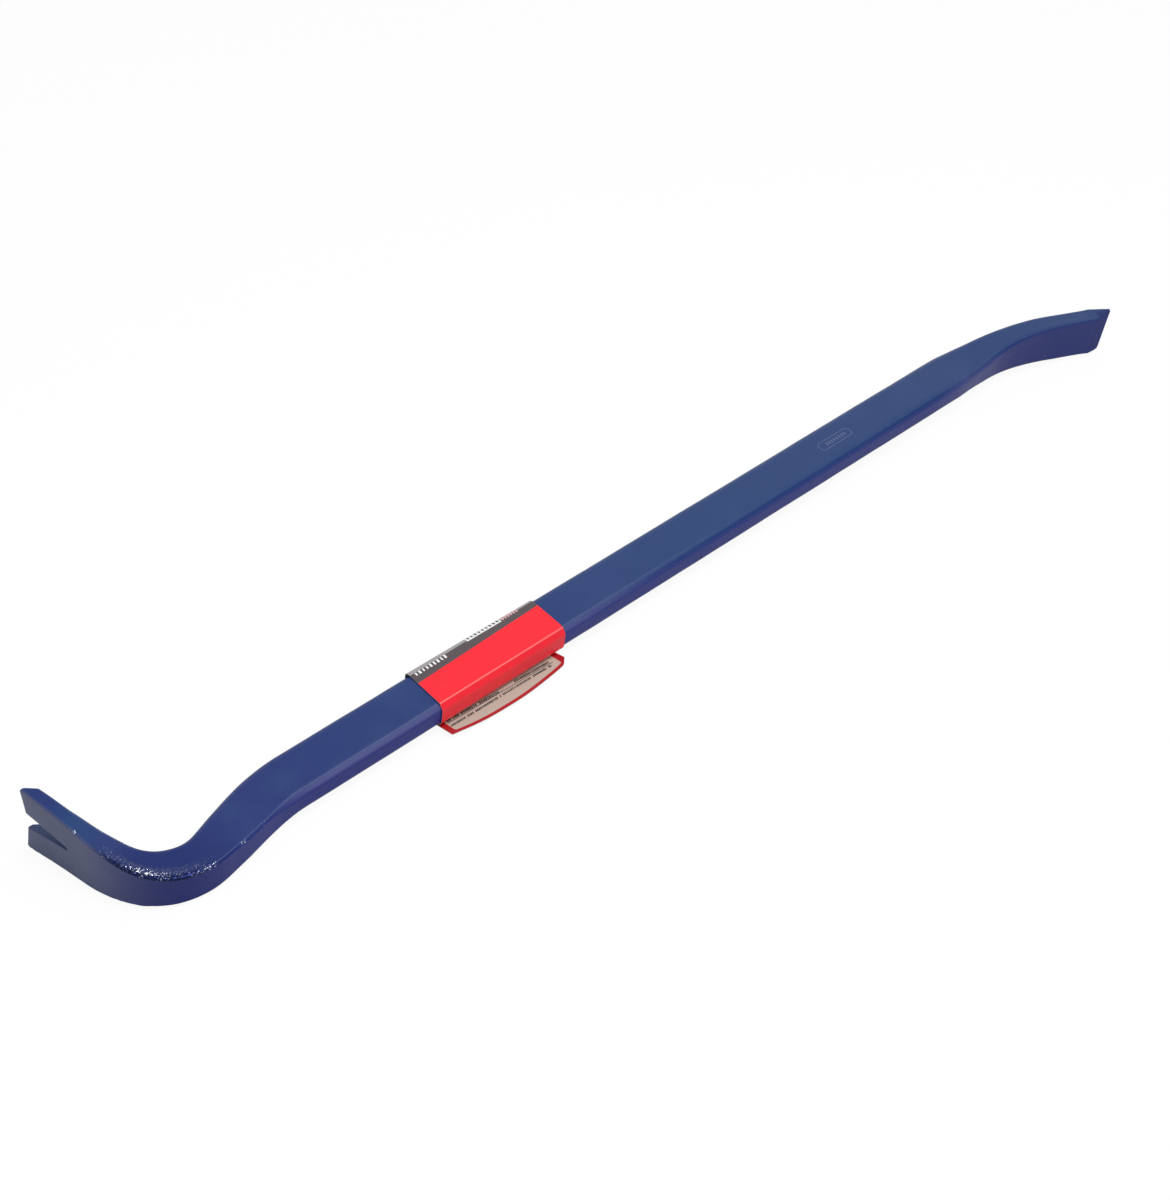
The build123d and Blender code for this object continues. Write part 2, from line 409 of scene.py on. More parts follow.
def ringPoints(ring):
    # once round: upper face, corner, side, corner, lower face, and back up the other side
    flats, sides, corners = bar["flatSegments"], bar["sideSegments"], bar["cornerSegments"]
    angles = [math.pi / 2 * step / corners for step in range(1, corners)]
    rises = [step / sides for step in range(sides + 1)]
    points = [flatPoint(ring, True, column) for column in range(flats + 1)]
    points += [cornerPoint(ring, True, angle) for angle in reversed(angles)]
    points += [sidePoint(ring, rise) for rise in reversed(rises)]
    points += [cornerPoint(ring, False, angle) for angle in angles]
    points += [flatPoint(ring, False, column) for column in range(flats, -1, -1)]
    mirrored = [cornerPoint(ring, False, angle, -1) for angle in reversed(angles)]
    mirrored += [sidePoint(ring, rise, -1) for rise in rises]
    mirrored += [cornerPoint(ring, True, angle) for angle in angles]
    return points + [(toTip, -across, *rest) for toTip, across, *rest in mirrored]


def slotWall(mesh, ring, column, low, ahead, inward):
    # one strip of the slot's wall, from the upper face down to the lower, with both edges rounded
    upper, lower, edge = ring["points"][column], ring["points"][low], bar["slotRound"]

    def stripPoint(toTip, across, lift, out, *values):
        return addPoint(mesh, ring["end"], toTip + ahead * out, across + inward * out, lift, *values)

    wall = [ring["verts"][column]]
    wall.append(stripPoint(*upper[:2], upper[2] - edge * 0.3, edge * 0.7, 0.9, 0.0, 0.8))
    wall.append(stripPoint(*upper[:2], upper[2] - edge, edge, 0.5, 0.0, 0.8))
    for share in (0.2, 0.4, 0.6, 0.8):
        toTip, across = mix(upper[0], lower[0], share), mix(upper[1], lower[1], share)
        lift = mix(upper[2] - edge, lower[2] + edge, share)
        wall.append(stripPoint(toTip, across, lift, edge, 0.12, 0.0, 0.9))
    wall.append(stripPoint(*lower[:2], lower[2] + edge, edge, 0.5, 0.0, 0.3))
    wall.append(stripPoint(*lower[:2], lower[2] + edge * 0.3, edge * 0.7, 0.9, 0.0, 0.8))
    wall.append(ring["verts"][low])
    return wall


def addObject(name, data):
    made = bpy.data.objects.new(name, data)
    bpy.context.scene.collection.objects.link(made)
    return made


def newPiece(name, mesh, sharpAngle):
    bmesh.ops.recalc_face_normals(mesh, faces=mesh.faces)
    data = bpy.data.meshes.new(name)
    mesh.to_mesh(data)
    mesh.free()
    data.shade_smooth()
    data.set_sharp_from_angle(angle=math.radians(sharpAngle))
    return addObject(name, data)


def makeBar():
    flats, corners = bar["flatSegments"], bar["cornerSegments"]
    clawStops = [0, bar["clawNip"], bar["clawBevel"], -slotStart, bar["clawFineRings"], clawLength]
    chiselStops = [0, bar["chiselFineRings"], bar["nearBevel"], bar["farBevel"], chiselLength]
    shankCount = round(bar["shankLength"] / bar["shankSpacing"])
    rings = [newRing("claw", toTip) for toTip in spans(clawStops, bar["clawSpacing"])]
    onShank = [bar["shankLength"] * n / shankCount for n in range(1, shankCount)]
    rings += [newRing("claw", -clawLength - distance) for distance in onShank]
    rings += [newRing("chisel", toTip) for toTip in reversed(spans(chiselStops, bar["chiselSpacing"]))]
    mesh = bmesh.new()
    for name in maskNames:
        mesh.verts.layers.float.new(name)
    for ring in rings:
        ring["points"] = ringPoints(ring)
        ring["verts"] = [addPoint(mesh, ring["end"], *point) for point in ring["points"]]

    lowStart = (flats + 1) + (corners - 1) + (bar["sideSegments"] + 1) + (corners - 1)
    count = len(rings[0]["verts"])
    overSlot = {*range(keep, flats - keep), *range(lowStart + keep, lowStart + flats - keep)}
    for ring, nextRing in zip(rings, rings[1:]):
        one, two = ring["verts"], nextRing["verts"]
        for column in range(count):
            if not (ring["slotted"] and nextRing["slotted"] and column in overSlot):
                after = (column + 1) % count
                mesh.faces.new((one[column], one[after], two[after], two[column]))

    # the slot's walls: down one flank, across the root and up the other
    *slotted, root = [ring for ring in rings if ring["slotted"]]
    strips = [(ring, keep, 0, 1) for ring in slotted]
    strips += [(root, keep, 1, 1), (root, keep + 1, 1, 0), (root, flats - keep, 1, -1)]
    strips += [(ring, flats - keep, 0, -1) for ring in reversed(slotted)]
    walls = [
        slotWall(mesh, ring, column, lowStart + flats - column, ahead, inward)
        for ring, column, ahead, inward in strips
    ]
    for one, two in zip(walls, walls[1:]):
        for row in range(len(one) - 1):
            mesh.faces.new((one[row], two[row], two[row + 1], one[row + 1]))

    # the prongs' ends and the chisel's edge
    tip = rings[0]["verts"]
    mesh.faces.new(tip[lowStart + flats - keep:] + tip[:keep + 1] + walls[0][1:-1])
    mesh.faces.new(tip[flats - keep:lowStart + keep + 1] + walls[-1][-2:0:-1])
    mesh.faces.new(rings[-1]["verts"])
    piece = newPiece("forgedBarEnamelled", mesh, 38)
    print("bar:", len(piece.data.polygons), "faces")
    return piece


forgedBar = makeBar()

sleeve = {
    "start": -182.75,  # along the shank, from its middle
    "length": 92.0,
    "card": 0.4,
    "gap": 0.4,
    "slack": 0.4,
    "nearFold": 5.4,
    "crease": (2.5, 3.9),  # the pressed edge along the near side: in from the wall, and down from the top
    "creaseFolds": (3.2, 1.3),
    "farFold": (3.0, 5.2),  # at the left end and at the right end
    "leafLap": 23.0,
    "glueGap": 0.2,
    "cutBack": 2.9,  # the last of the band, where its right end runs in to the flap
    "flapReach": 11.0,
    "flapBulge": 4.0,
    "flapLean": 2.9,
    "flapInset": 1.2,
    "flapNeck": 4.0,
    "flapCorner": 3.6,
    "flapDroop": 1.6,
    "flapRows": 14,
    "bowShare": 0.93,  # of the flap's columns, up to its cut corner
    "endBorder": 1.9,  # how much wider the flap's border is at its two ends
    "flapRoot": 11.0,
    "ripple": 0.12,
    "flapRipple": 0.45,
    "endRipple": 0.25,
    "columns": 60,
}
shankDepth, shankWidth = clawSections[0][:2]
cardOff = sleeve["gap"] + sleeve["card"] / 2
nearY, farY = -shankDepth / 2 - cardOff, shankDepth / 2 + cardOff + sleeve["slack"]
topZ = shankWidth / 2 + cardOff
outerZ = -topZ - sleeve["card"] - sleeve["glueGap"]
sleeveLeft, sleeveRight = sleeve["start"], sleeve["start"] + sleeve["length"]
neckY = -shankDepth / 2 + sleeve["flapNeck"]


def filletPath(points, radii, steps):
    # a polyline with rounded corners: each straight and each corner in turn gets its own number of steps
    laid = [[Vector(points[0])]]
    for before, corner, after, radius, count in zip(points, points[1:], points[2:], radii, steps[1::2]):
        before, corner, after = Vector(before), Vector(corner), Vector(after)
        back, on = (before - corner).normalized(), (after - corner).normalized()
        angle = back.angle(on)
        reach = radius / math.tan(angle / 2)
        centre = corner + (back + on).normalized() * radius / math.sin(angle / 2)
        one, two = corner + back * reach - centre, corner + on * reach - centre
        turn = one.angle_signed(two)
        arc = []
        for index in range(count + 1):
            spot = one.copy()
            spot.rotate(Matrix.Rotation(-turn * index / count, 2))
            arc.append(centre + spot)
        laid.append(arc)
    laid.append([Vector(points[-1])])
    spaced = laid[0]
    for arc, count in zip(laid[1:], steps[0::2]):
        start = spaced[-1]
        spaced = spaced + [start.lerp(arc[0], index / count) for index in range(1, count + 1)] + arc[1:]
    return spaced


def sleeveProfile(farFold):
    # the card's middle, looking along the bar: inner leaf, near side, crease, top, far side and outer leaf
    creaseIn, creaseDown = sleeve["crease"]
    corners = [
        (nearY + sleeve["leafLap"], -topZ), (nearY, -topZ), (nearY, topZ - creaseDown),
        (nearY + creaseIn, topZ), (farY, topZ), (farY, outerZ), (neckY, outerZ),
    ]
    folds = [sleeve["nearFold"], *sleeve["creaseFolds"], farFold, farFold]
    return filletPath(corners, folds, [10, 8, 6, 5, 3, 6, 16, 9, 5, 9, 12])


def printPlaces(profile):
    # how far round the card each point is, counted from the middle of the top face
    along = [0.0]
    for one, two in zip(profile, profile[1:]):
        along.append(along[-1] + (two - one).length)
    topMiddle = min(range(len(profile)), key=lambda n: abs(profile[n].y - topZ) + abs(profile[n].x) * 0.01)
    zero = along[topMiddle] - profile[topMiddle].x
    return [length - zero for length in along]


def bandRows(profiles, places):
    # each row: points along the bar, directions out of the card, places in the print
    rows = []
    count, cutBack = sleeve["columns"], sleeve["cutBack"]
    shares = [n / count for n in range(count + 1)]
    for index in range(len(profiles[0])):
        outs = []
        for path in profiles:
            before, after = path[max(index - 1, 0)], path[min(index + 1, len(path) - 1)]
            tangent = (after - before).normalized()
            outs.append(Vector((0, -tangent.y, tangent.x)))
        toFlap = places[0][-1] - places[0][index]
        inset = max(0.0, (cutBack - toFlap) / cutBack) * (sleeve["flapInset"] + sleeve["flapLean"])
        stop = sleeveRight - inset
        one, two = (path[index] for path in profiles)
        rows.append((
            [Vector((mix(sleeveLeft, stop, share), *one.lerp(two, share))) for share in shares],
            [outs[0].lerp(outs[1], share).normalized() for share in shares],
            [mix(places[0][index], places[1][index], share) for share in shares],
        ))
    return rows


def flapRows(lastPlace):
    # the flap runs on from the band to a bowed free edge with one cut corner, and droops towards it
    rows = []
    count, bowShare, corner = sleeve["columns"], sleeve["bowShare"], sleeve["flapCorner"]
    endX, edgeY = sleeveRight - sleeve["flapInset"], -shankDepth / 2 - sleeve["flapReach"]
    rootY = -shankDepth / 2 + sleeve["flapRoot"]
    cornerY = edgeY + sleeve["flapBulge"]
    bowStart, bowEnd, middleX = sleeveLeft + sleeve["flapLean"], endX - corner, (sleeveLeft + sleeveRight) / 2
    radius = ((middleX - bowStart) ** 2 + sleeve["flapBulge"] ** 2) / (2 * sleeve["flapBulge"])
    for row in range(1, sleeve["flapRows"] + 1):
        points = []
        for n in range(count + 1):
            share = n / count
            start = Vector((mix(sleeveLeft, endX - sleeve["flapLean"], share), neckY))
            if share <= bowShare:
                x = mix(bowStart, bowEnd, share / bowShare)
                end = Vector((x, edgeY + radius - math.sqrt(max(0.0, radius ** 2 - (x - middleX) ** 2))))
            else:
                past = (share - bowShare) / (1 - bowShare)
                end = Vector((mix(bowEnd, endX, past), mix(cornerY, cornerY + corner, past)))
            spot = start.lerp(end, row / sleeve["flapRows"])
            hang = max(0.0, rootY - spot.y) / (rootY - edgeY)
            points.append(Vector((*spot, outerZ - sleeve["flapDroop"] * hang ** 1.15)))
        outs = [Vector((0, -0.08, -1)).normalized()] * (count + 1)
        rows.append((points, outs, [lastPlace + neckY - point.y for point in points]))
    return rows


def makeSleeve():
    profiles = [sleeveProfile(farFold) for farFold in sleeve["farFold"]]
    places = [printPlaces(profile) for profile in profiles]
    lastPlace = places[0][-1]
    rows = bandRows(profiles, places)
    flapStart = len(rows) - 3  # the last rows of the band lie flat, like the flap
    rows += flapRows(lastPlace)
    count, last = sleeve["columns"], len(rows) - 1
    farInside = 5.0
    mesh = bmesh.new()
    printed = mesh.loops.layers.uv.new("print")
    inFromEdge = mesh.verts.layers.float.new("inFromEdge")  # mm in from the flap's outline
    grids = []
    for side in (1, -1):
        grid = []
        for number, (points, outs, _) in enumerate(rows):
            free = smoothStep(flapStart, last, number)
            line = []
            for n, point in enumerate(points):
                wave = noise.noise(Vector((point.x / 23, point.y / 17, point.z / 17)))
                ripple = wave * mix(sleeve["ripple"], sleeve["flapRipple"], free)
                toEnd = min(n, count - n) / count
                ripple += math.exp(-toEnd * 30) * sleeve["endRipple"] * (0.4 + 0.6 * free)
                spot = point + outs[n] * (ripple * (0.6 if free == 0 else 1) + side * sleeve["card"] / 2)
                vert = mesh.verts.new((spot + Vector(bar["shankMiddle"])) * mm)
                vert[inFromEdge] = farInside
                if number >= flapStart:
                    fromEnds = min(point.x - points[0].x, points[-1].x - point.x) - sleeve["endBorder"]
                    vert[inFromEdge] = min(farInside, fromEnds, (point - rows[-1][0][n]).length)
                line.append(vert)
            grid.append(line)
        grids.append(grid)

    def addFace(material, *corners):
        face = mesh.faces.new([grids[side][row][n] for side, row, n in corners])
        face.material_index = material
        for loop, (_, row, n) in zip(face.loops, corners):
            loop[printed].uv = ((rows[row][0][n].x - sleeveLeft) / 100, rows[row][2][n] / 100)

    for row in range(last):
        for n in range(count):
            addFace(0, (0, row, n), (0, row, n + 1), (0, row + 1, n + 1), (0, row + 1, n))
            addFace(1, (1, row, n), (1, row + 1, n), (1, row + 1, n + 1), (1, row, n + 1))
        addFace(2, (0, row, 0), (0, row + 1, 0), (1, row + 1, 0), (1, row, 0))
        addFace(2, (0, row, count), (1, row, count), (1, row + 1, count), (0, row + 1, count))
    for n in range(count):
        addFace(2, (0, 0, n), (1, 0, n), (1, 0, n + 1), (0, 0, n + 1))
        addFace(2, (0, last, n), (0, last, n + 1), (1, last, n + 1), (1, last, n))
    piece = newPiece("printedCardSleeve", mesh, 50)
    print("sleeve:", len(piece.data.polygons), "faces")
    return piece, lastPlace + neckY


cardSleeve, flapPrint = makeSleeve()  # flapPrint is where across = 0 lies in the flap's print


def isSocket(value):
    return isinstance(value, bpy.types.NodeSocket)


def feed(socket, value):
    # links the socket to another node's output, or sets its value
    if isSocket(value):
        socket.id_data.links.new(value, socket)
    else:
        socket.default_value = value


def feedAll(node, values):
    for name, value in values.items():
        feed(node.inputs[name], value)
    return node


def addNode(tree, kind, values={}, **settings):
    node = tree.nodes.new(kind)
    for name, value in settings.items():
        setattr(node, name, value)
    return feedAll(node, values)


def treeOf(*values):
    return next(value.id_data for value in values if isSocket(value))


def maths(kind, a, b=0.0, c=0.0):
    return addNode(treeOf(a, b, c), "ShaderNodeMath", {0: a, 1: b, 2: c}, operation=kind).outputs[0]


def times(a, b, *more):
    product = maths("MULTIPLY", a, b)
    return times(product, *more) if more else product


def most(a, b):
    return maths("MAXIMUM", a, b)


def plus(a, b):
    return maths("ADD", a, b)


def minus(a, b):
    return maths("SUBTRACT", a, b)


def vectorMaths(kind, a, b=(0, 0, 0)):
    return addNode(treeOf(a, b), "ShaderNodeVectorMath", {0: a, 1: b}, operation=kind).outputs


def parts(vector):
    return addNode(vector.id_data, "ShaderNodeSeparateXYZ", {0: vector}).outputs


def combine(x, y, z):
    return addNode(treeOf(x, y, z), "ShaderNodeCombineXYZ", {0: x, 1: y, 2: z}).outputs[0]


def ramp(value, low, high, start=0.0, end=1.0):
    values = {"Value": value, "From Min": low, "From Max": high, "To Min": start, "To Max": end}
    return addNode(value.id_data, "ShaderNodeMapRange", values, clamp=True).outputs["Result"]


def noiseAt(spot, scale, detail):
    values = {"Vector": spot, "Scale": scale, "Detail": detail}
    return addNode(spot.id_data, "ShaderNodeTexNoise", values).outputs["Fac"]


def attribute(tree, name):
    return addNode(tree, "ShaderNodeAttribute", attribute_name=name).outputs["Fac"]


def blendColour(share, one, two, kind="MIX"):
    values = {0: share, 6: one, 7: two}
    node = addNode(treeOf(share, one, two), "ShaderNodeMix", values, data_type="RGBA", blend_type=kind)
    return node.outputs[2]


def newMaterial(name):
    material = bpy.data.materials.new(name)
    material.use_nodes = True
    tree = material.node_tree
    return material, tree, tree.nodes["Principled BSDF"]


# start and end are mm from the card's left end, and across; on the flap, across is measured as on the bar
marks = {
    "thickness": 0.04,
    "usual": {"onFlap": False, "uneven": 0.35, "leftOut": 0.0, "steps": 3, "lift": 0.0, "ink": "dark"},
    "rows": [
        {"start": (3.6, 11.0), "end": (24.6, 11.2), "count": 9, "size": (1.5, 2.5), "uneven": 0.4,
         "ink": "white"},
        {"start": (42.3, 14.5), "end": (66.7, 14.3), "count": 25, "size": (1.03, 5.2), "uneven": 0.0,
         "steps": 11, "ink": "white"},
        {"start": (43.6, 14.0), "end": (65.4, 13.8), "count": 9, "size": (1.45, 2.7), "steps": 8,
         "lift": 1.0},
        {"start": (69.0, 13.6), "end": (79.6, 13.4), "count": 6, "size": (1.25, 3.4), "steps": 9,
         "ink": "pink"},
        {"start": (6.6, -13.5), "end": (42.4, -15.2), "count": 26, "size": (1.3, 1.6), "leftOut": 0.1,
         "onFlap": True},
        {"start": (55.6, -14.9), "end": (80.0, -15.9), "count": 18, "size": (1.3, 1.6), "leftOut": 0.08,
         "onFlap": True},
        {"start": (6.0, -14.9), "end": (82.0, -17.2), "count": 60, "size": (1.45, 0.42), "uneven": 0.0,
         "onFlap": True},
        {"start": (6.4, -17.3), "end": (80.8, -18.6), "count": 64, "size": (1.05, 1.5), "uneven": 0.4,
         "leftOut": 0.12, "onFlap": True},
    ],
}


def enabled(sockets, *names):
    return next(one for one in sockets if one.enabled and (not names or one.name in names))


def addSockets(tree, direction, kinds):
    for name, kind in kinds.items():
        tree.interface.new_socket(name, in_out=direction, socket_type="NodeSocket" + kind)


def printRowTree():
    # one row of plain marks, laid flat in the print's own plane and then wrapped onto the card
    tree = bpy.data.node_groups.new("printRow", "GeometryNodeTree")
    addSockets(tree, "OUTPUT", {"Geometry": "Geometry"})
    addSockets(tree, "INPUT", {
        "Geometry": "Geometry", "Card": "Object", "Card Face": "Int", "Start": "Vector", "End": "Vector",
        "Count": "Int", "Steps Across": "Int", "Width": "Float", "Height": "Float", "Unevenness": "Float",
        "Left Out": "Float", "Lift": "Float", "Thickness": "Float", "Seed": "Int", "Ink": "Material",
    })
    given = tree.nodes.new("NodeGroupInput").outputs
    result = tree.nodes.new("NodeGroupOutput")
    position = tree.nodes.new("GeometryNodeInputPosition").outputs[0]
    normal = tree.nodes.new("GeometryNodeInputNormal").outputs[0]

    def scatter(seedShift, limits, kind="FLOAT"):
        node = addNode(tree, "FunctionNodeRandomValue", data_type=kind)
        for name, value in limits.items():
            feed(enabled(node.inputs, name), value)
        feed(enabled(node.inputs, "Seed"), plus(given["Seed"], seedShift))
        return enabled(node.outputs)

    card = addNode(tree, "GeometryNodeObjectInfo", {"Object": given["Card"]}).outputs["Geometry"]
    isChosen = addNode(tree, "FunctionNodeCompare", data_type="INT", operation="EQUAL")
    faceNumber, wanted = [one for one in isChosen.inputs if one.enabled]
    feed(faceNumber, tree.nodes.new("GeometryNodeInputMaterialIndex").outputs[0])
    feed(wanted, given["Card Face"])
    choice = {"Geometry": card, "Selection": isChosen.outputs[0]}
    sheet = addNode(tree, "GeometryNodeSeparateGeometry", choice, domain="FACE").outputs["Selection"]
    chart = addNode(tree, "GeometryNodeInputNamedAttribute", {"Name": "print"}, data_type="FLOAT_VECTOR")

    ends = {"Count": given["Count"], "Start Location": given["Start"], "Offset": given["End"]}
    line = addNode(tree, "GeometryNodeMeshLine", ends, mode="END_POINTS", count_mode="TOTAL")
    grid = {"Size": (1, 1, 1), "Vertices X": 3, "Vertices Y": given["Steps Across"], "Vertices Z": 2}
    block = addNode(tree, "GeometryNodeMeshCube", grid)
    uneven = given["Unevenness"]
    wide = times(given["Width"], minus(1.0, times(uneven, scatter(1, {"Min": 0.0, "Max": 1.0}))))
    tall = times(given["Height"], minus(1.0, times(uneven, scatter(2, {"Min": 0.0, "Max": 0.5}))))
    placed = addNode(tree, "GeometryNodeInstanceOnPoints", {
        "Points": line.outputs[0], "Instance": block.outputs[0], "Scale": combine(wide, tall, 1.0),
        "Selection": scatter(3, {"Probability": minus(1.0, given["Left Out"])}, "BOOLEAN"),
    })
    flat = addNode(tree, "GeometryNodeRealizeInstances", {"Geometry": placed.outputs[0]}).outputs[0]
    x, y, z = parts(position)
    where = combine(maths("DIVIDE", x, 100.0), maths("DIVIDE", y, 100.0), 0.0)

    def sampled(field):
        # a field of the card, where the flat marks lie in its print
        node = addNode(tree, "GeometryNodeSampleUVSurface", data_type="FLOAT_VECTOR")
        feed(enabled(node.inputs, "Mesh"), sheet)
        feed(enabled(node.inputs, "Value"), field)
        feed(enabled(node.inputs, "UV Map", "Source UV Map"), chart.outputs[0])
        feed(enabled(node.inputs, "Sample UV"), where)
        return enabled(node.outputs)

    rise = times(plus(plus(z, 0.1), given["Lift"]), given["Thickness"], mm)
    lifted = addNode(tree, "ShaderNodeVectorMath", {0: sampled(normal), 3: rise}, operation="SCALE")
    onCard = {"Geometry": flat, "Position": vectorMaths("ADD", sampled(position), lifted.outputs[0])[0]}
    wrapped = addNode(tree, "GeometryNodeSetPosition", onCard).outputs[0]
    inked = addNode(tree, "GeometryNodeSetMaterial", {"Geometry": wrapped, "Material": given["Ink"]})
    joined = addNode(tree, "GeometryNodeJoinGeometry", {0: inked.outputs[0]})
    feed(joined.inputs[0], given["Geometry"])
    feed(result.inputs[0], joined.outputs[0])
    return tree


def makeMarks(inks):
    tree = printRowTree()
    names = {item.name: item.identifier for item in tree.interface.items_tree if item.in_out == "INPUT"}
    piece = addObject("printedMarks", bpy.data.meshes.new("printedMarks"))
    for number, special in enumerate(marks["rows"]):
        row = {**marks["usual"], **special}
        ends = [(x, flapPrint - y if row["onFlap"] else y, 0.0) for x, y in (row["start"], row["end"])]
        values = {
            "Card": cardSleeve, "Card Face": int(row["onFlap"]), "Count": row["count"], "Start": ends[0],
            "End": ends[1], "Width": row["size"][0], "Height": row["size"][1], "Unevenness": row["uneven"],
            "Left Out": row["leftOut"], "Steps Across": row["steps"], "Lift": row["lift"],
            "Thickness": marks["thickness"], "Seed": number + 11, "Ink": inks[row["ink"]],
        }
        modifier = piece.modifiers.new("row" + str(number), "NODES")
        modifier.node_group = tree
        for name, value in values.items():
            modifier[names[name]] = value
    shown = piece.evaluated_get(bpy.context.evaluated_depsgraph_get())
    data = bpy.data.meshes.new_from_object(shown)
    piece.modifiers.clear()
    piece.data = data
    for polygon in data.polygons:
        polygon.use_smooth = False
    print("marks:", len(data.polygons), "faces")
    return piece


def fineSurfaceGroup():
    # fine grain, broad patches and the bump that goes with the grain, shared by every finish
    group = bpy.data.node_groups.new("fineSurface", "ShaderNodeTree")
    addSockets(group, "INPUT", {
        "Place": "Vector", "Grain Scale": "Float", "Grain Depth": "Float", "Patch Scale": "Float",
        "Under": "Vector",
    })
    addSockets(group, "OUTPUT", {"Grain": "Float", "Patches": "Float", "Normal": "Vector"})
    given = group.nodes.new("NodeGroupInput").outputs
    result = group.nodes.new("NodeGroupOutput").inputs
    grain = noiseAt(given["Place"], given["Grain Scale"], 3.0)
    bumps = {"Height": grain, "Strength": 0.6, "Distance": given["Grain Depth"], "Normal": given["Under"]}
    feed(result["Grain"], grain)
    feed(result["Patches"], noiseAt(given["Place"], given["Patch Scale"], 3.0))
    feed(result["Normal"], addNode(group, "ShaderNodeBump", bumps).outputs["Normal"])
    return group


fineSurface = fineSurfaceGroup()


def fineFinish(spot, grainScale, grainDepth, patchScale, under=None):
    node = addNode(spot.id_data, "ShaderNodeGroup", node_tree=fineSurface)
    under = under or spot.id_data.nodes.new("ShaderNodeNewGeometry").outputs["Normal"]
    return feedAll(node, dict(enumerate((spot, grainScale, grainDepth, patchScale, under)))).outputs


# along gives metres from the origin, towards the chisel
enamel = {
    "clawBlue": (0.014, 0.032, 0.160, 1),
    "chiselBlue": (0.018, 0.049, 0.161, 1),
    "blueChange": (-0.33, 0.02),  # along, from the claw's blue to the chisel's
    "sideBlue": (0.013, 0.021, 0.212, 1),  # on the narrow faces, where the coat is thicker
    "thinBlue": (0.026, 0.058, 0.178, 1),  # where the coat is thin
    "heelShadeBlue": (0.001, 0.012, 0.112, 1),  # painted shade over the heel
    "teal": (0.008, 0.070, 0.170, 1),  # on the sides of the claw
    "paleBlue": (0.036, 0.050, 0.172, 1),  # on the narrow faces of the chisel
    "paleFrom": (0.29, 0.34),  # along
    "paleLilac": (0.116, 0.116, 0.285, 1),  # painted highlight along the long corner between the sleeve and the gooseneck, and the same pale lilac on the chisel's bend
    "throatLilac": (0.240, 0.268, 0.284, 0.312),  # along, where the chisel's bend gets the same pale lilac on its narrow faces
    "sheenGrey": (0.136, 0.152, 0.240, 1),  # painted sheen: the grey reflection on the claw's outer face
    "grooveShadeBlue": (0.006, 0.010, 0.046, 1),  # painted shade along the corner under the hammered band
    "glintSteel": (0.78, 0.81, 0.88, 1),  # bare steel, set in specks as painted glints in the hammered band and at the nicks
    "chip": (0.3050, 0.3419, 0.4342, 1),
    "chipFrom": (-0.30, -0.345),  # along
    "chipPatchScale": 110.0,
    "speckScale": 1350.0,
    "dentScale": 600.0,
    "dentDepth": 0.0011,
    "grain": (620.0, 0.00006, 36.0),  # scale, depth, and scale of the patches
    "roughness": (0.25, 0.33),
    "hammeredGloss": 0.20,
    "ior": 1.32,
    "etch": (0.16, 0.20, 0.31, 1),
    "etchMiddle": (0.1517, -0.0164, 0),
    "etchHalf": (0.0142, 0.0033),
    "etchRound": 0.0024,
    "etchLine": 0.00035,
    "etchBars": (420.0, 0.0095, 0.0012),  # bars to the metre, and half the length and height of their row
    "etchFloor": 0.0315,  # only the face above this height is etched
}


def etchedFrame(spot):
    # a rounded outline with a few plain bars in it, on the broad face towards the chisel
    roundness, lineWidth = enamel["etchRound"], enamel["etchLine"]
    pitch, halfRow, halfHeight = enamel["etchBars"]
    inset = (*(value - roundness for value in enamel["etchHalf"]), 1)
    local = vectorMaths("SUBTRACT", spot, enamel["etchMiddle"])[0]
    away = vectorMaths("SUBTRACT", vectorMaths("ABSOLUTE", local)[0], inset)[0]
    away = vectorMaths("LENGTH", vectorMaths("MAXIMUM", away)[0])["Value"]
    line = ramp(maths("ABSOLUTE", minus(away, roundness)), lineWidth, lineWidth * 0.3)
    x, y, _ = parts(local)
    bars = maths("GREATER_THAN", maths("FRACT", times(x, pitch)), 0.5)
    bars = times(bars, maths("LESS_THAN", maths("ABSOLUTE", x), halfRow))
    bars = times(bars, maths("LESS_THAN", maths("ABSOLUTE", y), halfHeight))
    onTop = maths("GREATER_THAN", parts(spot)["Z"], enamel["etchFloor"])
    return times(most(line, bars), onTop)


